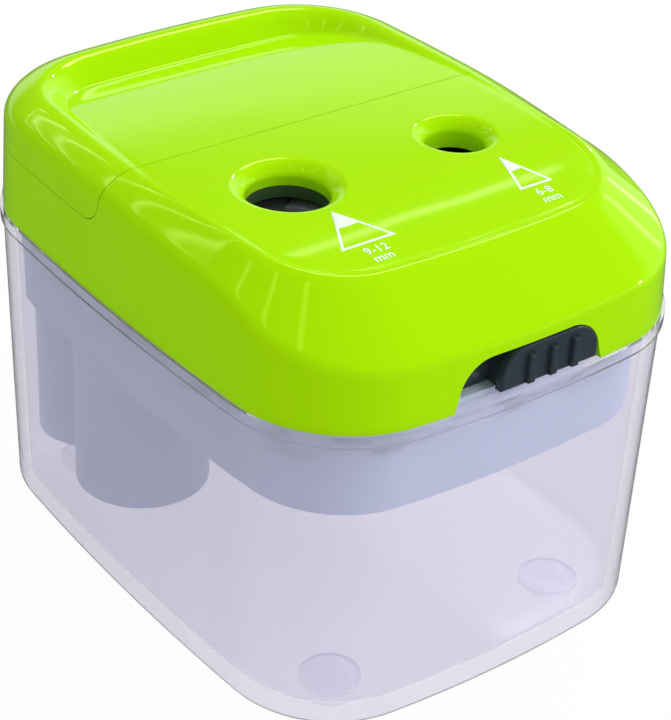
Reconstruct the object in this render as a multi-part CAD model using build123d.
from build123d import *
import math
import os

# Two-hole electric pencil sharpener. Millimetres, +Z up, front at -Y.
# The origin is on the table, under the middle of the body.

# Plan outline at the bin rim: a rounded rectangle whose four sides bow outwards
body_width = 80.0
body_depth = 103.0
side_bow = 2.7
end_bow = 3.7
corner_radius = 20.6

# Clear bin and its feet
bin_height = 54.3
bin_wall = 2.2
bin_floor = 2.4
bin_taper = 1.2
bin_edge_radius = 2.0
rim_height = 2.0
rim_proud = 0.5
foot_diameter = 9.6
foot_thickness = 1.2
foot_proud = 0.6
foot_spacing_x = 45.0
foot_spacing_y = 72.0

# Lime head: wall, shoulder, crest and dished top
shell_wall = 2.0
wall_lean = 3.0
head_height = 20.6
crest_side_setback = 7.5
crest_front_setback = 16.6
crest_back_setback = 6.5
crest_corner_radius = 15.0
crest_side_bow = 2.0
crest_end_bow = 2.4
shoulder_slope = 30.0
crease_radius = 3.0
crest_flat = 1.8
crest_radius = 0.8
lip_start = 15.0
lip_radius = 137.0
dish_front_reach = 3.5
dish_bank = 45.0
dish_drop = 0.7
dish_apex_y = -10.8
dish_sag = 5.97
dish_fillet = 3.0

# Rear cover seam
seam_y = 4.8
seam_height = 11.7
seam_corner_radius = 4.5
seam_gap = 0.25
tongue_depth = 4.0
tongue_wall = 1.2

# Pencil holes
hole_spacing = 32.0
hole_y = -11.9
large_bore = 12.8
small_bore = 9.4
hole_flare = 2.6
collar_wall = 1.6

# Front slide: window, knob, carrier and shutter
window_width = 26.6
window_height = 7.6
window_corner_radius = 6.0
selector_travel = 7.6
knob_height = 6.6
knob_corner_radius = 5.0
knob_end_gap = 0.3
knob_recess = 0.4
knob_plate = 1.5
knob_edge_radius = 0.4
knob_stem_inset = 0.7
knob_rib_count = 3
knob_rib_width = 1.3
knob_rib_pitch = 4.2
knob_rib_proud = 0.9
knob_rib_edge = 0.35
carrier_thickness = 1.4
carrier_height = 9.0
carrier_overlap = 2.2
carrier_setback = 4.4
rail_height = 1.6
rail_width = 1.0
shutter_thickness = 1.1
shutter_margin = 4.0
shutter_arm_width = 9.0
shutter_foot_height = 3.0

# Chassis: deck, skirt, posts and bosses
deck_thickness = 2.0
deck_rise = 0.5
deck_gap = 0.4
skirt_depth = 16.0
skirt_wall = 1.6
skirt_inset = 4.2
post_radius = 2.5
thrust_ring_wall = 2.0
journal_length = 6.0
boss_radius = 2.2
boss_web = 1.6
middle_post_setback = 12.6
side_post_reach = 11.5
side_post_setback = 13.6
rear_post_place = (13.0, 13.0)
front_boss_side = 13.0
front_boss_setback = 14.0
rear_boss_offset = 7.5

# Batteries
cell_count = 4
cell_diameter = 14.2
cell_length = 50.5
nub_diameter = 5.4
nub_height = 1.2
cell_play = 0.4
cell_web = 0.8
cell_stand = 4.3
tube_wall = 1.1
tube_floor = 1.2
upper_contact_drop = 10.05
contact_thickness = 0.5
contact_width = 8.0
contact_dimple_radius = 3.0
contact_spring_height = 1.7

# Motor
motor_setback = 15.7
motor_y = 14.8
motor_diameter = 20.2
motor_can_wall = 1.0
motor_can_end = 2.4
magnet_thickness = 2.4
magnet_spacing = 5.0
air_gap = 0.35
armature_length = 20.0
armature_slots = 3
armature_slot_width = 1.6
armature_core_radius = 3.2
motor_can_length = 33.0
motor_cap_length = 3.0
motor_boss_radius = 3.0
motor_boss_height = 1.0
motor_shaft_radius = 1.0
motor_screw_spacing = 12.0
motor_play = 0.15
cup_wall = 0.95
cup_web = 0.6
wire_room = 2.8
cap_floor = 1.0
terminal_length = 4.0
terminal_width = 2.4
terminal_thickness = 0.5
terminal_hole_radius = 0.6
plate_thickness = 1.2
plate_margin = 1.0
outer_plate_screw = (-8.7, -12.0)
inner_plate_screws = [(-2.0, 22.0), (5.0, 2.5)]

# Gear train: module, tooth counts and face widths, from motor to cutters
fine_module = 0.5
coarse_module = 0.6
motor_teeth = 10
reduction_wheel_teeth = 36
reduction_pinion_teeth = 14
idler_teeth = 36
centre_wheel_teeth = 34
centre_pinion_teeth = 14
cutter_teeth = 46
pressure_angle = 25.0
addendum = 0.8
dedendum = 1.05
backlash = 0.06
mesh_gap = 0.05
cutter_gear_width = 3.0
wheel_width = 2.6
motor_gear_width = 2.4
level_gap = 0.3
axle_radius = 1.0
hub_wall = 1.0
axle_socket = 0.8
reduction_turn = -47.0

# Gear cover with the pencil guides
cover_plate = 2.0
cover_margin = 4.0
cover_post_margin = 1.2
guide_wall = 1.5
guide_gap = 0.3

# Cutters
journal_radius = 9.0
holder_flange = 1.2
holder_flange_height = 0.8
holder_tip_wall = 4.0
large_cone_length = 24.0
small_cone_length = 19.5
cone_tip_radius = 0.4
cone_bite = 0.25
blade_thickness = 0.7
blade_width = 6.5
blade_end_gap = 2.2
blade_screw_offset = 4.0
blade_screw_radius = 0.9
blade_screw_head = 1.7
blade_screw_head_height = 0.9
blade_screw_depth = 1.2

# Start levers and their switch
lever_width = 4.0
lever_thickness = 1.1
lever_drop = 3.2
lever_eye_radius = 1.1
lever_nose = 0.8
lever_nose_height = 1.6
lever_pin_radius = 0.5
lever_side_gap = 0.3
lever_ear = 1.0
lever_swing = 12.0
switch_width = 10.4
switch_depth = 6.2
switch_button = 0.8

# Screws and clearances
screw_radius = 1.2
screw_head_radius = 2.0
screw_head_height = 1.3
screw_depth = 6.0
running_gap = 0.05
slide_gap = 0.15
push_gap = 0.02
part_gap = 0.3
clear_of_all = 200.0

# Heights that follow from the sizes above
bin_bottom = foot_proud
rim_z = bin_bottom + bin_height
crest_z = rim_z + head_height
deck_top = rim_z + deck_rise
deck_bottom = deck_top - deck_thickness
skirt_bottom = rim_z - skirt_depth
plate_top = deck_top + plate_thickness
cutter_gear_z = plate_top + level_gap
wheel_z = cutter_gear_z + cutter_gear_width + level_gap
motor_gear_z = wheel_z + wheel_width + level_gap
gear_cover_z = motor_gear_z + motor_gear_width + level_gap
gear_cover_top = gear_cover_z + cover_plate
shutter_z = gear_cover_top + part_gap
shutter_top = shutter_z + shutter_thickness
collar_z = shutter_top + part_gap
flange_top = cutter_gear_z + cutter_gear_width
flange_z = flange_top - holder_flange_height
guide_z = flange_top + guide_gap
seam_z = rim_z + seam_height
dish_apex_z = crest_z - dish_drop
dish_radius = (body_depth / 2) ** 2 / (2 * dish_sag)
journal_z = deck_top - journal_length
knob_width = window_width - selector_travel - 2 * knob_end_gap
bin_rim_wall = bin_wall + rim_proud
hole_places = {"large": (-hole_spacing / 2, hole_y), "small": (hole_spacing / 2, hole_y)}
bores = {"large": large_bore / 2, "small": small_bore / 2}
cone_lengths = {"large": large_cone_length, "small": small_cone_length}

# Places that follow from the sizes above
crest_half_width = body_width / 2 - crest_side_setback
crest_front = body_depth / 2 - crest_front_setback
crest_back = body_depth / 2 - crest_back_setback
motor_x = motor_setback - body_width / 2
motor_place = (motor_x, motor_y)
plate_screw_places = [(motor_x + outer_plate_screw[0], motor_y + outer_plate_screw[1])] + inner_plate_screws
post_places = [(0.0, hole_y - middle_post_setback), rear_post_place]
for side in (-1, 1):
    post_places.append((side * (hole_spacing / 2 + side_post_reach), hole_y - side_post_setback))
front_boss_x = body_width / 2 - front_boss_side
front_boss_y = front_boss_setback - body_depth / 2
front_boss_places = [(-front_boss_x, front_boss_y), (front_boss_x, front_boss_y)]
foot_places = [
    (sx * foot_spacing_x / 2, sy * foot_spacing_y / 2) for sx in (-1, 1) for sy in (-1, 1)
]

# Cells stand in a row right behind the motor housing, their tops a set way below the crest
cup_bore = motor_diameter / 2 + motor_play
cup_radius = cup_bore + cup_wall
tube_bore = cell_diameter / 2 + cell_play
tube_radius = tube_bore + tube_wall
cell_pitch = 2 * tube_bore + cell_web
cell_row_y = motor_y + cup_bore + cup_web + tube_bore
outer_cell_x = (cell_count - 1) / 2 * cell_pitch
cell_places = [(n * cell_pitch - outer_cell_x, cell_row_y) for n in range(cell_count)]
contact_middles = [(-cell_pitch, cell_row_y), (cell_pitch, cell_row_y)]
rear_boss_y = cell_row_y + rear_boss_offset
rear_boss_places = [(-cell_pitch, rear_boss_y), (cell_pitch, rear_boss_y)]
rear_boss_top = seam_z - tongue_depth - part_gap
upper_contact_z = crest_z - upper_contact_drop
cell_top = upper_contact_z - slide_gap
cell_bottom = cell_top - cell_length
tube_bottom = cell_bottom - contact_spring_height - contact_thickness - tube_floor
tube_top = cell_top - cell_stand

# Motor hangs from the deck, over a space for its wires
can_top = deck_top
can_bottom = can_top - motor_can_length
cap_bottom = can_bottom - motor_cap_length
can_bore = motor_diameter / 2 - motor_can_wall
cup_bottom = cap_bottom - terminal_length - wire_room - tube_floor
motor_screw_places = [(motor_x + s * motor_screw_spacing / 2, motor_y) for s in (-1, 1)]


def bowed_outline(half_width, half_depth, bow_x, bow_y, corner, inset=0.0):
    """Rounded rectangle of eight tangent arcs, moved inwards by inset on parallel arcs."""
    side_r = (half_depth**2 + bow_x**2) / (2 * bow_x)
    end_r = (half_width**2 + bow_y**2) / (2 * bow_y)
    side_c = half_width - side_r
    end_c = half_depth - end_r
    side_reach = side_r - corner
    end_reach = end_r - corner
    span = math.hypot(side_c, end_c)
    ux = -side_c / span
    uy = end_c / span
    along = (side_reach**2 - end_reach**2 + span**2) / (2 * span)
    across = math.sqrt(side_reach**2 - along**2)
    centre = Vector(side_c + along * ux - across * uy, along * uy + across * ux)
    to_side = (centre - Vector(side_c, 0)).normalized()
    to_end = (centre - Vector(0, end_c)).normalized()
    radius = corner - inset
    on_side = centre + to_side * radius
    on_corner = centre + (to_side + to_end).normalized() * radius
    on_end = centre + to_end * radius

    def turned(point, sx, sy):
        return (point.X * sx, point.Y * sy)

    mid_x = half_width - inset
    mid_y = half_depth - inset
    edges = []
    for sx, sy in ((1, 1), (-1, 1), (-1, -1), (1, -1)):
        start, end = (on_side, on_end) if sx * sy > 0 else (on_end, on_side)
        edges.append(ThreePointArc(turned(start, sx, sy), turned(on_corner, sx, sy), turned(end, sx, sy)))
        if sx * sy > 0:
            edges.append(ThreePointArc(turned(on_end, sx, sy), (0, mid_y * sy), turned(on_end, -sx, sy)))
        else:
            edges.append(ThreePointArc(turned(on_side, sx, sy), (mid_x * sx, 0), turned(on_side, sx, -sy)))
    return Face(Wire(edges))


def body_outline(inset):
    return bowed_outline(body_width / 2, body_depth / 2, side_bow, end_bow, corner_radius, inset)


def crest_outline(inset, front):
    """Outline of the top's crest, or of the dish inside it, whose front edge lies at -front."""
    half_depth = (crest_back + front) / 2
    bows = (crest_side_bow, crest_end_bow)
    face = bowed_outline(crest_half_width, half_depth, *bows, crest_corner_radius, inset)
    return Pos(0, (crest_back - front) / 2, 0) * face


def column(radius, low, high, place=(0.0, 0.0)):
    """Upright cylinder between two heights."""
    return Pos(place[0], place[1], low) * extrude(Circle(radius), high - low)


def block(x, y, z):
    """Box between two coordinates on each axis."""
    size = (x[1] - x[0], y[1] - y[0], z[1] - z[0])
    middle = ((x[0] + x[1]) / 2, (y[0] + y[1]) / 2, (z[0] + z[1]) / 2)
    return Pos(*middle) * Box(*size)


def screw(place, head_low, shank_high):
    """Pan-head screw driven upwards, its head hanging below head_low."""
    head = column(screw_head_radius, head_low - screw_head_height, head_low, place)
    return head + column(screw_radius, head_low, shank_high, place)


def screw_down(place, head_low, shank_low):
    """Screw driven downwards, its head standing on head_low."""
    head = column(screw_head_radius, head_low, head_low + screw_head_height, place)
    return head + column(screw_radius, shank_low, head_low, place)


def group(solids):
    return Compound(children=list(solids))


# Head form: what is solid below the top's outer skin, or below a skin moved inwards by depth
def dish(depth):
    """Space above the dished top, grown by depth: banked sides over a floor that arches front to back."""
    grown = depth / math.cos(math.radians(dish_bank))
    front = crest_front + dish_front_reach
    outline = Pos(0, 0, crest_z) * crest_outline(crest_flat - grown, front)
    bowl = extrude(outline, -head_height / 2, taper=dish_bank) + extrude(outline, head_height)
    floor = Pos(0, dish_apex_y, dish_apex_z - dish_radius) * Rot(0, 90, 0)
    space = bowl - floor * Cylinder(dish_radius - depth, clear_of_all)
    if depth > 0.0:
        return space
    floor_rim = space.faces().filter_by(GeomType.CYLINDER).sort_by(SortBy.AREA)[-1].outer_wire().edges()
    return fillet(floor_rim, dish_fillet)


def lip_cut(depth):
    """Space above the crest line, level along the sides and falling in an arc to the front lip."""
    top = crest_z - depth
    level = block((-clear_of_all, clear_of_all), (-clear_of_all, clear_of_all), (top, top + head_height))
    ahead = block((-clear_of_all, clear_of_all), (-clear_of_all, -lip_start), (rim_z, top + head_height))
    roll = Pos(0, -lip_start, top - lip_radius) * Rot(0, 90, 0) * Cylinder(lip_radius, clear_of_all)
    return level + (ahead - roll)


def head_form(depth):
    wall = extrude(Pos(0, 0, rim_z) * body_outline(rim_proud + depth), head_height + depth, taper=wall_lean)
    fall = depth / math.cos(math.radians(shoulder_slope))
    cone_top = Pos(0, 0, crest_z - fall) * crest_outline(0.0, crest_front)
    cone = extrude(cone_top, -head_height - bin_height / 2, taper=shoulder_slope - 90)
    form = wall & cone
    if depth == 0.0:
        crease = form.edges().filter_by(lambda edge: is_crease(edge))
        form = fillet(crease, crease_radius)
    form = form - lip_cut(fall) - dish(depth)
    if depth == 0.0:
        form = fillet(crest_edges(form), crest_radius)
    return form


def crest_edges(form):
    """Outer and inner edges of the narrow band along the crest."""
    level = form.faces().filter_by(Plane.XY).sort_by(Axis.Z)[-1]
    arcs = form.faces().filter_by(GeomType.CYLINDER)
    lip = arcs.filter_by(lambda face: abs(face.radius - lip_radius) < part_gap)
    edges = level.edges() + lip.edges()
    return [edge for edge in edges if edges.count(edge) == 1]


def is_crease(edge):
    """True for the edges where the shoulder meets the wall."""
    box = edge.bounding_box()
    return box.min.Z > rim_z + part_gap and box.max.Z < crest_z - part_gap and box.size.Z < head_height / 3


def cover_space(gap):
    """Space of the rear cover: behind the seam and above it, with a rounded lower front edge."""
    space = block((-clear_of_all, clear_of_all), (seam_y + gap, clear_of_all), (seam_z, clear_of_all))
    edge = space.edges().filter_by(Axis.X).sort_by_distance((0, seam_y, seam_z))[0]
    return fillet(edge, seam_corner_radius - gap)


def window_space():
    """Arched opening at the lower front edge of the shell."""
    half = window_width / 2
    opening = RectangleRounded(window_width, 2 * window_height, window_corner_radius)
    space = extrude(Plane.XZ * opening, clear_of_all)
    return Pos(0, -crest_front, rim_z) * space & block((-half, half), (-clear_of_all, 0), (0, clear_of_all))


head_outer = head_form(0.0)
head_inner = head_form(shell_wall)


def hollow_head():
    well = extrude(Pos(0, 0, rim_z) * body_outline(rim_proud + shell_wall), -part_gap)
    return head_outer - head_inner - well


def make_front_shell():
    shell = hollow_head() - cover_space(0.0)
    for kind, place in hole_places.items():
        collar = column(bores[kind] + collar_wall, collar_z, crest_z, place)
        shell += collar & head_outer
    for place in front_boss_places:
        shell += column(boss_radius, deck_top, crest_z, place) & head_outer
    for x, y in rear_boss_places:
        web = block((x - boss_web / 2, x + boss_web / 2), (y, body_depth / 2), (deck_top, rear_boss_top))
        shell += column(boss_radius, deck_top, rear_boss_top, (x, y)) + (web & head_outer)
    for kind, place in hole_places.items():
        shell -= column(bores[kind], collar_z - part_gap, crest_z, place)
        rim = shell.edges().filter_by(lambda edge, at=place, r=bores[kind]: is_hole_rim(edge, at, r))
        shell = fillet(rim, hole_flare)
    for place in front_boss_places + rear_boss_places:
        shell -= column(screw_radius + running_gap, deck_top, deck_top + screw_depth, place)
    return shell - window_space()


def is_hole_rim(edge, place, radius):
    """True for the upper edge of a pencil bore."""
    box = edge.bounding_box()
    middle = box.center()
    near = math.hypot(middle.X - place[0], middle.Y - place[1]) < radius / 2
    return near and box.max.Z > dish_apex_z - shell_wall and abs(box.size.X - 2 * radius) < radius / 4


def wall_inset(z):
    """How far the head's outer wall stands inside the rim outline at a height."""
    return rim_proud + (z - rim_z) * math.tan(math.radians(wall_lean))


def wall_ring(outer, inner, low, high):
    """Band that follows the head's wall, between two depths behind its face."""
    ring = extrude(Pos(0, 0, low) * body_outline(wall_inset(low) + outer), high - low, taper=wall_lean)
    return ring - extrude(Pos(0, 0, low) * body_outline(wall_inset(low) + inner), high - low, taper=wall_lean)


def make_rear_cover():
    """Cover with a tongue inside the wall below it and a bar that carries the upper contacts."""
    cover = hollow_head() & cover_space(seam_gap)
    behind_wall = shell_wall + part_gap
    tongue_low = seam_z - tongue_depth
    tongue_high = seam_z + tongue_wall
    tongue = wall_ring(behind_wall, behind_wall + tongue_wall, tongue_low, tongue_high)
    tongue += wall_ring(shell_wall / 2, behind_wall + tongue_wall, seam_z, tongue_high)
    tongue &= block((-clear_of_all, clear_of_all), (cell_row_y, clear_of_all), (0, clear_of_all))
    for place in cell_places:
        tongue -= column(tube_radius + part_gap, tongue_low, cell_top + part_gap, place)
    half = outer_cell_x + contact_width / 2
    rows = (cell_row_y - contact_width / 2, cell_row_y + contact_width / 2)
    bar = block((-half, half), rows, (upper_contact_z + contact_thickness, crest_z))
    return cover + tongue + (bar & head_outer)


# Bin
def make_bin():
    top = rim_z - rim_height
    low = Pos(0, 0, bin_bottom) * body_outline(bin_taper)
    high = Pos(0, 0, top) * body_outline(rim_proud)
    tub = loft([low, high], ruled=True)
    tub = fillet(tub.edges().group_by(Axis.Z)[0], bin_edge_radius)
    tub += extrude(Pos(0, 0, top) * body_outline(0.0), rim_height)
    cavity_low = Pos(0, 0, bin_bottom + bin_floor) * body_outline(bin_taper + bin_wall)
    cavity_high = Pos(0, 0, rim_z) * body_outline(bin_rim_wall)
    cavity = loft([cavity_low, cavity_high], ruled=True)
    cavity = fillet(cavity.edges().group_by(Axis.Z)[0], bin_edge_radius)
    tub -= cavity
    for place in foot_places:
        tub -= column(foot_diameter / 2, 0, foot_thickness, place)
    return tub


def make_feet():
    return group(column(foot_diameter / 2 - push_gap, 0, foot_thickness, place) for place in foot_places)


# Chassis, and the motor housing and cell tubes that hang from it
def inside_skirt(solid):
    """What of a solid lies within the skirt's outer face."""
    return solid & extrude(Pos(0, 0, bin_bottom) * body_outline(skirt_inset), crest_z - bin_bottom)


def make_chassis():
    """Deck with a skirt, the cutter journals, the posts and the rail of the slide."""
    deck = extrude(Pos(0, 0, deck_bottom) * body_outline(bin_rim_wall + deck_gap), deck_thickness)
    skirt = extrude(Pos(0, 0, skirt_bottom) * body_outline(skirt_inset), skirt_depth - part_gap)
    skirt -= extrude(Pos(0, 0, skirt_bottom) * body_outline(skirt_inset + skirt_wall), skirt_depth)
    solid = deck + skirt
    for place in hole_places.values():
        solid += column(journal_radius + thrust_ring_wall, journal_z, cutter_gear_z - running_gap * 2, place)
    for place in post_places:
        solid += column(post_radius, deck_bottom, gear_cover_z, place)
    rail_y = knob_back + carrier_thickness + slide_gap
    rail_x = window_width / 2 + carrier_overlap
    solid += block((-rail_x, rail_x), (rail_y, rail_y + rail_width), (deck_bottom, deck_top + rail_height))
    solid -= column(cup_bore, deck_bottom, deck_top, motor_place)
    solid -= column(cup_radius + push_gap, skirt_bottom, deck_bottom, motor_place)
    for place in cell_places:
        solid -= inside_skirt(column(tube_radius + push_gap, skirt_bottom, deck_top, place))
        solid -= column(tube_bore, skirt_bottom, deck_top, place)
    for place in hole_places.values():
        solid -= column(journal_radius + running_gap, journal_z, cutter_gear_z, place)
    for place in front_boss_places + rear_boss_places:
        solid -= column(screw_radius + part_gap, deck_bottom, deck_top, place)
        solid -= column(screw_head_radius + slide_gap, skirt_bottom, deck_bottom, place)
    for place in post_places:
        solid -= column(screw_radius + running_gap, gear_cover_z - screw_depth, gear_cover_z, place)
    for place in plate_screw_places:
        solid -= column(screw_radius + running_gap, deck_bottom, deck_top, place)
    return solid


def make_motor_housing():
    """Cup round the motor, closed below and seated under the deck."""
    cup = inside_skirt(column(cup_radius, cup_bottom, deck_bottom, motor_place))
    return cup - column(cup_bore, cup_bottom + tube_floor, deck_bottom, motor_place)


def make_cell_tubes():
    """Row of tubes for the cells, joined side by side, with a slot in the floor for each lower contact."""
    tubes = inside_skirt(column(tube_radius, tube_bottom, tube_top, cell_places[0]))
    for place in cell_places[1:]:
        tubes += inside_skirt(column(tube_radius, tube_bottom, tube_top, place))
    tubes -= column(cup_radius + push_gap, cup_bottom, deck_top, motor_place)
    for place in cell_places:
        tubes -= column(tube_bore, tube_bottom + tube_floor, tube_top, place)
    bridge = cell_pitch / 2 + contact_width / 2 + part_gap
    depth = contact_width / 2 + part_gap
    heights = (tube_bottom + tube_floor, cell_bottom)
    for x, y in contact_middles:
        tubes -= block((x - bridge, x + bridge), (y - depth, y + depth), heights)
    return tubes


# Slide in the front window
knob_back = carrier_setback - (body_depth / 2 - rim_proud)
knob_front = knob_recess - (body_depth / 2 - rim_proud)
knob_right = window_width / 2 - knob_end_gap
knob_left = knob_right - knob_width
knob_z = deck_top + slide_gap
knob_middle = (knob_left + knob_right) / 2


def arched(width, height, corner, front, back):
    """Upright slab of the knob with a level foot and two round upper corners, between two depths."""
    slab = extrude(Plane.XZ * RectangleRounded(width, 2 * height, corner), back - front)
    slab = Pos(knob_middle, back, knob_z) * slab
    half = width / 2
    return slab & block((knob_middle - half, knob_middle + half), (front, back), (knob_z, knob_z + height))


def make_knob():
    """Face plate with upright ribs, on a smaller stem that joins it to the carrier."""
    plate_back = knob_front + knob_plate
    knob = arched(knob_width, knob_height, knob_corner_radius, knob_front, plate_back)
    knob = fillet(knob.faces().sort_by(Axis.Y)[0].edges(), knob_edge_radius)
    inset = knob_stem_inset
    stem_width = knob_width - 2 * inset
    knob += arched(stem_width, knob_height - inset, knob_corner_radius - inset, plate_back, knob_back)
    rib_top = knob_z + knob_height - knob_rib_width
    for n in range(knob_rib_count):
        x = knob_middle + (n - (knob_rib_count - 1) / 2) * knob_rib_pitch
        rib = block(
            (x - knob_rib_width / 2, x + knob_rib_width / 2),
            (knob_front - knob_rib_proud, knob_front + knob_plate / 2),
            (knob_z + knob_edge_radius, rib_top),
        )
        knob += fillet(rib.faces().sort_by(Axis.Y)[0].edges(), knob_rib_edge)
    return knob


def make_carrier():
    """Plate behind the knob that closes the window wherever the knob stands, trimmed to clear the wall."""
    half = window_width / 2 + carrier_overlap
    plate = block(
        (-half, half + selector_travel),
        (knob_back, knob_back + carrier_thickness),
        (knob_z, knob_z + carrier_height),
    )
    inset = wall_inset(knob_z + carrier_height) + shell_wall + slide_gap
    room = extrude(Pos(0, 0, knob_z) * body_outline(inset), carrier_height)
    return plate & room & (Pos(selector_travel, 0, 0) * room)


def make_shutter():
    """Plate under the holes on an arm bent under the front slope."""
    arm_back = knob_back + carrier_thickness
    foot_z = deck_top + rail_height + part_gap + slide_gap
    bend_y = -crest_front - shutter_margin
    plate_front = hole_y - large_bore / 2 - shutter_margin
    plate_back = hole_y + large_bore / 2 + shutter_margin
    t = shutter_thickness
    rise = (shutter_top - (foot_z + shutter_foot_height)) / 2
    profile = Polyline(
        (arm_back, foot_z),
        (bend_y, foot_z),
        (bend_y, shutter_z - rise / 2),
        (bend_y + rise / 2, shutter_z),
        (plate_front, shutter_z),
        (plate_front, shutter_top),
        (bend_y + rise / 2 - t / 2, shutter_top),
        (bend_y - t, shutter_z - rise / 2 + t / 2),
        (bend_y - t, foot_z + shutter_foot_height),
        (arm_back, foot_z + shutter_foot_height),
        close=True,
    )
    arm = extrude(Plane.YZ * make_face(profile), shutter_arm_width)
    arm = Pos(knob_middle - shutter_arm_width / 2, 0, 0) * arm
    large_x = -hole_spacing / 2 + selector_travel
    small_x = hole_spacing / 2
    left = -hole_spacing / 2 - large_bore / 2 - shutter_margin / 2
    right = small_x + small_bore / 2 + shutter_margin
    plate = block((left, right), (plate_front, plate_back), (shutter_z, shutter_top))
    plate -= column(large_bore / 2 + part_gap, shutter_z, shutter_top, (large_x, hole_y))
    plate -= column(small_bore / 2 + part_gap, shutter_z, shutter_top, (small_x, hole_y))
    return arm + plate


# Gears
def gear_outline(module, teeth, turn):
    """Involute gear outline with short teeth; turn is the direction of one tooth, in radians."""
    pitch = module * teeth / 2
    base = pitch * math.cos(math.radians(pressure_angle))
    tip = pitch + addendum * module
    root = pitch - dedendum * module
    start = max(base, root)

    def involute(angle):
        return math.tan(angle) - angle

    half = math.pi / (2 * teeth) - backlash / (2 * pitch) + involute(math.radians(pressure_angle))

    def flank(radius):
        return half - involute(math.acos(min(1.0, base / radius)))

    def polar(radius, angle):
        return (radius * math.cos(angle), radius * math.sin(angle))

    step = 2 * math.pi / teeth
    middle = (start + tip) / 2
    edges = []
    for n in range(teeth):
        at = turn + n * step
        foot_in = polar(start, at - flank(start))
        foot_out = polar(start, at + flank(start))
        tip_in = polar(tip, at - flank(tip))
        tip_out = polar(tip, at + flank(tip))
        root_in = polar(root, at - flank(start))
        root_out = polar(root, at + flank(start))
        next_root = polar(root, at + step - flank(start))
        if root < start:
            edges.append(Line(root_in, foot_in))
        edges.append(ThreePointArc(foot_in, polar(middle, at - flank(middle)), tip_in))
        edges.append(ThreePointArc(tip_in, polar(tip, at), tip_out))
        edges.append(ThreePointArc(tip_out, polar(middle, at + flank(middle)), foot_out))
        if root < start:
            edges.append(Line(foot_out, root_out))
        edges.append(ThreePointArc(root_out, polar(root, at + step / 2), next_root))
    return Face(Wire(edges))


def gear(module, teeth, turn, low, width, place):
    return Pos(place[0], place[1], low) * extrude(gear_outline(module, teeth, turn), width)


def mesh_turn(turn, teeth, place, next_teeth, next_place):
    """Direction of a tooth of the next gear, so that it stands in mesh with this one."""
    line = math.atan2(next_place[1] - place[1], next_place[0] - place[0])
    lead = turn - line
    return line + math.pi - lead * teeth / next_teeth + math.pi / next_teeth


def apart(module, teeth_a, teeth_b):
    """Distance between the axes of two meshing gears."""
    return module * (teeth_a + teeth_b) / 2 + mesh_gap


def third_corner(a, b, from_a, from_b):
    """Point at two given distances from two others, on the left of the way from a to b."""
    span = math.dist(a, b)
    along = (from_a**2 - from_b**2 + span**2) / (2 * span)
    across = math.sqrt(from_a**2 - along**2)
    ux = (b[0] - a[0]) / span
    uy = (b[1] - a[1]) / span
    return (a[0] + along * ux - across * uy, a[1] + along * uy + across * ux)


cutter_apart = apart(coarse_module, cutter_teeth, centre_pinion_teeth)
centre_place = third_corner(hole_places["large"], hole_places["small"], cutter_apart, cutter_apart)
reduction_apart = apart(fine_module, motor_teeth, reduction_wheel_teeth)
reduction_place = (
    motor_x + reduction_apart * math.cos(math.radians(reduction_turn)),
    motor_y + reduction_apart * math.sin(math.radians(reduction_turn)),
)
idler_place = third_corner(
    reduction_place,
    centre_place,
    apart(fine_module, reduction_pinion_teeth, idler_teeth),
    apart(fine_module, idler_teeth, centre_wheel_teeth),
)
cutter_turn = {"large": 0.0}
centre_turn = mesh_turn(0.0, cutter_teeth, hole_places["large"], centre_pinion_teeth, centre_place)
cutter_turn["small"] = mesh_turn(
    centre_turn, centre_pinion_teeth, centre_place, cutter_teeth, hole_places["small"]
)
idler_turn = mesh_turn(0.0, centre_wheel_teeth, centre_place, idler_teeth, idler_place)
reduction_pinion_turn = mesh_turn(
    idler_turn, idler_teeth, idler_place, reduction_pinion_teeth, reduction_place
)
motor_turn = mesh_turn(0.0, reduction_wheel_teeth, reduction_place, motor_teeth, motor_place)
axle_places = [reduction_place, idler_place, centre_place]
axle_top = gear_cover_z + axle_socket
hub_radius = axle_radius + running_gap + hub_wall


def bored(solid, place):
    return solid - column(axle_radius + running_gap, deck_bottom, crest_z, place)


def make_reduction_gear():
    place = reduction_place
    solid = gear(fine_module, reduction_wheel_teeth, 0.0, motor_gear_z, motor_gear_width, place)
    pinion_width = motor_gear_z - wheel_z
    solid += gear(fine_module, reduction_pinion_teeth, reduction_pinion_turn, wheel_z, pinion_width, place)
    solid += column(hub_radius, plate_top + slide_gap, wheel_z, place)
    return bored(solid, place)


def make_idler_gear():
    place = idler_place
    solid = gear(fine_module, idler_teeth, idler_turn, wheel_z, wheel_width, place)
    solid += column(hub_radius, plate_top + slide_gap, wheel_z, place)
    return bored(solid, place)


def make_centre_gear():
    place = centre_place
    pinion_width = wheel_z - cutter_gear_z
    solid = gear(coarse_module, centre_pinion_teeth, centre_turn, cutter_gear_z, pinion_width, place)
    solid += gear(fine_module, centre_wheel_teeth, 0.0, wheel_z, wheel_width, place)
    solid += column(hub_radius, plate_top + slide_gap, cutter_gear_z, place)
    solid += column(hub_radius, wheel_z + wheel_width, gear_cover_z - slide_gap, place)
    return bored(solid, place)


def make_axles():
    return group(column(axle_radius, deck_top, axle_top - slide_gap, place) for place in axle_places)


# Motor and its plate
def make_motor_can():
    can = column(motor_diameter / 2, can_bottom, can_top, motor_place)
    can = fillet(can.edges().group_by(Axis.Z)[-1], plate_thickness)
    can -= column(can_bore, can_bottom, can_top - motor_can_end, motor_place)
    can += column(motor_boss_radius, can_top, can_top + motor_boss_height, motor_place)
    can -= column(motor_shaft_radius + running_gap, can_bottom, crest_z, motor_place)
    for place in motor_screw_places:
        can -= column(screw_radius + running_gap, can_top - motor_can_end, can_top, place)
    return can


def armature_heights():
    middle = (can_bottom + can_top - motor_can_end) / 2
    return (middle - armature_length / 2, middle + armature_length / 2)


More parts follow.
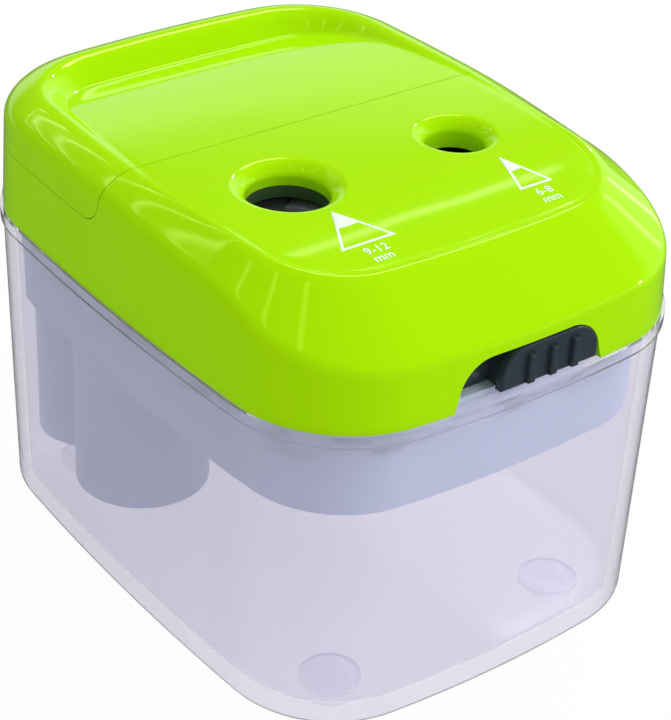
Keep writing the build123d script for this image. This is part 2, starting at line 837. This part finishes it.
def make_magnets():
    """Two curved magnets against the inside of the can."""
    low, high = armature_heights()
    ring = column(can_bore - push_gap, low, high, motor_place)
    ring -= column(can_bore - magnet_thickness, low, high, motor_place)
    across = (motor_x - magnet_spacing / 2, motor_x + magnet_spacing / 2)
    ring -= block(across, (motor_y - can_bore, motor_y + can_bore), (low, high))
    return group(ring.solids())


def make_armature():
    """Slotted core on the motor shaft."""
    low, high = armature_heights()
    radius = can_bore - magnet_thickness - air_gap
    core = column(radius, low, high, motor_place)
    for n in range(armature_slots):
        slot = Box(radius, armature_slot_width, armature_length)
        slot = Pos(armature_core_radius + radius / 2, 0, 0) * slot
        at = Pos(motor_x, motor_y, (low + high) / 2) * Rot(0, 0, 360 * n / armature_slots)
        core -= at * slot
    return core - column(motor_shaft_radius + push_gap, low, high, motor_place)


def make_motor_cap():
    cap = column(motor_diameter / 2 - push_gap, cap_bottom, can_bottom, motor_place)
    return cap - column(motor_shaft_radius + running_gap, cap_bottom + cap_floor, can_bottom, motor_place)


def make_terminals():
    tabs = []
    for side in (-1, 1):
        x = motor_x + side * motor_diameter / 4
        tab = block(
            (x - terminal_width / 2, x + terminal_width / 2),
            (motor_y - terminal_thickness / 2, motor_y + terminal_thickness / 2),
            (cap_bottom - terminal_length, cap_bottom),
        )
        eye = Pos(x, motor_y, cap_bottom - terminal_length / 2) * Rot(90, 0, 0)
        tabs.append(tab - eye * Cylinder(terminal_hole_radius, terminal_width))
    return group(tabs)


def make_shaft():
    return column(motor_shaft_radius, cap_bottom + cap_floor, gear_cover_z - slide_gap, motor_place)


def make_motor_pinion():
    pinion = gear(fine_module, motor_teeth, motor_turn, motor_gear_z, motor_gear_width, motor_place)
    return pinion - column(motor_shaft_radius + push_gap, motor_gear_z, crest_z, motor_place)


def make_motor_plate():
    """Steel plate that closes the motor housing and holds the feet of the axles."""
    rims = [Pos(*motor_place) * Circle(cup_radius + plate_margin)]
    for place in axle_places:
        rims.append(Pos(*place) * Circle(axle_radius + 2 * plate_margin))
    for place in plate_screw_places:
        rims.append(Pos(*place) * Circle(screw_head_radius + plate_margin))
    edges = [edge for rim in rims for edge in rim.edges()]
    plate = extrude(Pos(0, 0, deck_top) * make_hull(edges), plate_thickness)
    for place in hole_places.values():
        plate -= column(journal_radius + thrust_ring_wall + part_gap, deck_top, plate_top, place)
    for place in cell_places:
        plate -= column(tube_radius + part_gap, deck_top, plate_top, place)
    for place in post_places:
        plate -= column(post_radius + part_gap, deck_top, plate_top, place)
    for place in axle_places:
        plate -= column(axle_radius + push_gap, deck_top, plate_top, place)
    for place in motor_screw_places + plate_screw_places:
        plate -= column(screw_radius + running_gap, deck_top, plate_top, place)
    return plate - column(motor_boss_radius + running_gap, deck_top, plate_top, motor_place)


def make_motor_screws():
    return group(screw_down(place, plate_top, can_top - plate_thickness) for place in motor_screw_places)


def make_plate_screws():
    return group(screw_down(place, plate_top, deck_bottom) for place in plate_screw_places)


# Gear cover and start levers
def lever_side(kind):
    """Direction from a pencil hole towards the middle of the body."""
    return 1 if hole_places[kind][0] < 0 else -1


def lever_pivot(kind):
    x, y = hole_places[kind]
    reach = bores[kind] + lever_eye_radius + slide_gap
    return (x + lever_side(kind) * reach, y, gear_cover_z - lever_eye_radius - part_gap)


def make_gear_cover():
    rims = [Pos(*place) * Circle(post_radius + cover_post_margin) for place in post_places]
    for kind, place in hole_places.items():
        rims.append(Pos(*place) * Circle(bores[kind] + cover_margin))
    for place in axle_places:
        rims.append(Pos(*place) * Circle(axle_radius + cover_margin / 2))
    edges = [edge for rim in rims for edge in rim.edges()]
    cover = extrude(Pos(0, 0, gear_cover_z) * make_hull(edges), cover_plate)
    for kind, place in hole_places.items():
        cover += column(bores[kind] + guide_wall, guide_z, gear_cover_z, place)
        px, py, pz = lever_pivot(kind)
        half = lever_width / 2 + lever_side_gap + lever_ear
        reach = (px - lever_eye_radius, px + lever_eye_radius)
        cover += block(reach, (py - half, py + half), (motor_gear_z, gear_cover_z))
    for kind, place in hole_places.items():
        cover -= column(bores[kind], guide_z, gear_cover_top, place)
        px, py, pz = lever_pivot(kind)
        side = lever_side(kind)
        slot_x = sorted((place[0], px + side * (lever_eye_radius + guide_wall)))
        slot = lever_width / 2 + lever_side_gap
        cover -= block(slot_x, (py - slot, py + slot), (guide_z, gear_cover_z))
        cover -= Pos(px, py, pz) * Rot(90, 0, 0) * Cylinder(lever_pin_radius + push_gap, lever_width * 3)
    for place in axle_places:
        cover -= column(axle_radius + running_gap, gear_cover_z, axle_top, place)
    for place in post_places:
        cover -= column(screw_radius + part_gap, gear_cover_z, gear_cover_top, place)
        cover -= column(screw_head_radius + part_gap, screw_seat, gear_cover_top, place)
    return cover


screw_seat = gear_cover_top - screw_head_height


def make_gear_cover_screws():
    low = gear_cover_z - screw_depth + part_gap
    return group(screw_down(place, screw_seat, low) for place in post_places)


def make_lever(kind):
    """Lever hung beside a pencil guide, its nose in the pencil's way."""
    px, py, pz = lever_pivot(kind)
    side = lever_side(kind)
    inner = -side * lever_thickness / 2
    nose = -side * (lever_eye_radius + slide_gap + lever_nose)
    low = -lever_drop
    profile = Polyline(
        (inner, 0),
        (inner, low + lever_nose_height),
        (nose, low + lever_nose_height / 2),
        (inner, low),
        (-inner, low),
        (-inner, 0),
        close=True,
    )
    face = make_face(profile) + Circle(lever_eye_radius)
    face -= Circle(lever_pin_radius + running_gap)
    lever = extrude(Plane.XZ * face, lever_width / 2, both=True)
    return Pos(px, py, pz) * lever


def make_lever_pins():
    pins = []
    length = lever_width + 2 * lever_side_gap + 2 * lever_ear
    for kind in hole_places:
        pins.append(Pos(*lever_pivot(kind)) * Rot(90, 0, 0) * Cylinder(lever_pin_radius, length))
    return group(pins)


def make_start_switch():
    """Switch under the gear cover, with a button on each side that a swung lever presses."""
    half = switch_width / 2
    front = centre_place[1] - fine_module * (centre_wheel_teeth / 2 + addendum) - part_gap
    solid = block((-half, half), (front - switch_depth, front), (wheel_z, gear_cover_z))
    for kind in hole_places:
        px, py, pz = lever_pivot(kind)
        side = lever_side(kind)
        swung = lever_drop * math.sin(math.radians(lever_swing))
        tip = px + side * (lever_thickness / 2 + swung + slide_gap)
        reach = sorted((-side * half, tip))
        low = pz - lever_drop
        solid += block(reach, (front - switch_button, front), (low, low + switch_button))
    return solid


# Cutters
def make_cutter_gear(kind):
    place = hole_places[kind]
    ring = gear(coarse_module, cutter_teeth, cutter_turn[kind], cutter_gear_z, cutter_gear_width, place)
    ring -= column(journal_radius + push_gap, cutter_gear_z, flange_z, place)
    return ring - column(journal_radius + holder_flange + push_gap, flange_z, flange_top, place)


def cone_angle(kind):
    return math.atan2(bores[kind] - cone_tip_radius, cone_lengths[kind])


def blade_plane(kind):
    """Plane just inside the pencil cone, along one of its straight lines."""
    angle = cone_angle(kind)
    x, y = hole_places[kind]
    radius = (bores[kind] + cone_tip_radius) / 2 - cone_bite
    middle = (x + lever_side(kind) * radius, y, journal_z - cone_lengths[kind] / 2)
    normal = (lever_side(kind) * math.cos(angle), 0, -math.sin(angle))
    return Plane(origin=middle, x_dir=(0, 1, 0), z_dir=normal)


def make_holder(kind):
    """Holder that turns in the deck: a straight bore, then the pencil cone with a flat for the blade."""
    place = hole_places[kind]
    tip = journal_z - cone_lengths[kind]
    at = Pos(place[0], place[1], 0)
    core = column(journal_radius, journal_z, flange_top, place)
    core += column(journal_radius + holder_flange, flange_z, flange_top, place)
    core += at * Pos(0, 0, (tip + journal_z) / 2) * Cone(
        cone_tip_radius + holder_tip_wall, journal_radius, journal_z - tip
    )
    core -= column(bores[kind], journal_z, flange_top, place)
    core -= at * Pos(0, 0, (tip + journal_z) / 2) * Cone(cone_tip_radius, bores[kind], journal_z - tip)
    flat = blade_plane(kind)
    reach = cone_lengths[kind]
    cut = flat * Pos(0, 0, journal_radius) * Box(4 * journal_radius, reach * 2, 2 * journal_radius)
    cut &= block((-clear_of_all, clear_of_all), (-clear_of_all, clear_of_all), (0, journal_z - part_gap))
    core -= cut
    pilot = Cylinder(blade_screw_radius + push_gap, blade_screw_depth)
    return core - flat * Pos(-blade_screw_offset, 0, -blade_screw_depth / 2) * pilot


def blade_length(kind):
    return cone_lengths[kind] / math.cos(cone_angle(kind)) - 2 * blade_end_gap


def make_blade(kind):
    """Thin steel blade lying on the holder's flat, its edge along the pencil cone."""
    flat = blade_plane(kind)
    blade = Pos(-blade_width / 2, 0, 0) * Box(blade_width, blade_length(kind), blade_thickness)
    blade -= Pos(-blade_screw_offset, 0, 0) * Cylinder(blade_screw_radius + push_gap, blade_thickness)
    return flat * Pos(0, 0, blade_thickness / 2) * blade


def make_blade_screw(kind):
    shank_length = blade_thickness + blade_screw_depth
    head = Pos(0, 0, blade_thickness + blade_screw_head_height / 2)
    shank = Pos(0, 0, blade_thickness - shank_length / 2)
    solid = head * Cylinder(blade_screw_head, blade_screw_head_height)
    solid += shank * Cylinder(blade_screw_radius, shank_length)
    return blade_plane(kind) * Pos(-blade_screw_offset, 0, 0) * solid


# Batteries
def make_cell(n):
    place = cell_places[n]
    shoulder = cell_top - nub_height
    cell = column(cell_diameter / 2, cell_bottom, shoulder, place)
    return cell + column(nub_diameter / 2, shoulder, cell_top, place)


def make_contacts():
    """Lower bridges: each joins two cells and presses on them with a raised dimple."""
    bridges = []
    low = tube_bottom + tube_floor
    for x, y in contact_middles:
        reach = cell_pitch / 2 + contact_width / 2
        plate = block(
            (x - reach, x + reach),
            (y - contact_width / 2, y + contact_width / 2),
            (low, low + contact_thickness),
        )
        for side in (-1, 1):
            spot = (x + side * cell_pitch / 2, y)
            plate += column(contact_dimple_radius, low + contact_thickness, cell_bottom, spot)
        bridges.append(plate)
    return group(bridges)


def make_cover_contacts():
    """Upper contacts: a bridge over the middle cells and a tab over each outer one."""
    plates = []
    half = contact_width / 2
    rows = (cell_row_y - half, cell_row_y + half)
    heights = (upper_contact_z, upper_contact_z + contact_thickness)
    plates.append(block((-cell_pitch / 2 - half, cell_pitch / 2 + half), rows, heights))
    for side in (-1, 1):
        plates.append(block((side * outer_cell_x - half, side * outer_cell_x + half), rows, heights))
    return group(plates)


def make_shell_screws():
    high = deck_top + screw_depth - part_gap
    return group(screw(place, deck_bottom, high) for place in front_boss_places + rear_boss_places)


nodes = {
    "shavings_bin": make_bin(),
    "bin_feet": make_feet(),
    "chassis": make_chassis(),
    "motor_housing": make_motor_housing(),
    "battery_tubes": make_cell_tubes(),
    "front_shell": make_front_shell(),
    "rear_cover": make_rear_cover(),
    "shell_screws": make_shell_screws(),
    "selector_knob": make_knob(),
    "selector_base": make_carrier(),
    "shutter": make_shutter(),
    "motor_can": make_motor_can(),
    "motor_magnets": make_magnets(),
    "motor_armature": make_armature(),
    "motor_end_cap": make_motor_cap(),
    "motor_terminals": make_terminals(),
    "motor_plate": make_motor_plate(),
    "motor_screws": make_motor_screws(),
    "plate_screws": make_plate_screws(),
    "motor_shaft": make_shaft(),
    "motor_pinion": make_motor_pinion(),
    "gear_axles": make_axles(),
    "reduction_gear": make_reduction_gear(),
    "idler_gear": make_idler_gear(),
    "centre_gear": make_centre_gear(),
    "gear_cover": make_gear_cover(),
    "gear_cover_screws": make_gear_cover_screws(),
    "start_switch": make_start_switch(),
    "lever_pins": make_lever_pins(),
    "battery_contacts": make_contacts(),
    "cover_contacts": make_cover_contacts(),
}
for kind in hole_places:
    nodes["start_lever_" + kind] = make_lever(kind)
    nodes["cutter_gear_" + kind] = make_cutter_gear(kind)
    nodes["cutter_holder_" + kind] = make_holder(kind)
    nodes["cutter_blade_" + kind] = make_blade(kind)
    nodes["blade_screw_" + kind] = make_blade_screw(kind)
for n in range(cell_count):
    nodes["battery_cell_" + str(n + 1)] = make_cell(n)

os.makedirs("parts", exist_ok=True)
for name, solid in nodes.items():
    export_step(solid, "parts/" + name + ".step")
print(len(nodes), "nodes")
print("axes", hole_places, centre_place, idler_place, reduction_place, motor_place)
print("lever pivots", lever_pivot("large"), lever_pivot("small"))
print("selector travel", selector_travel)
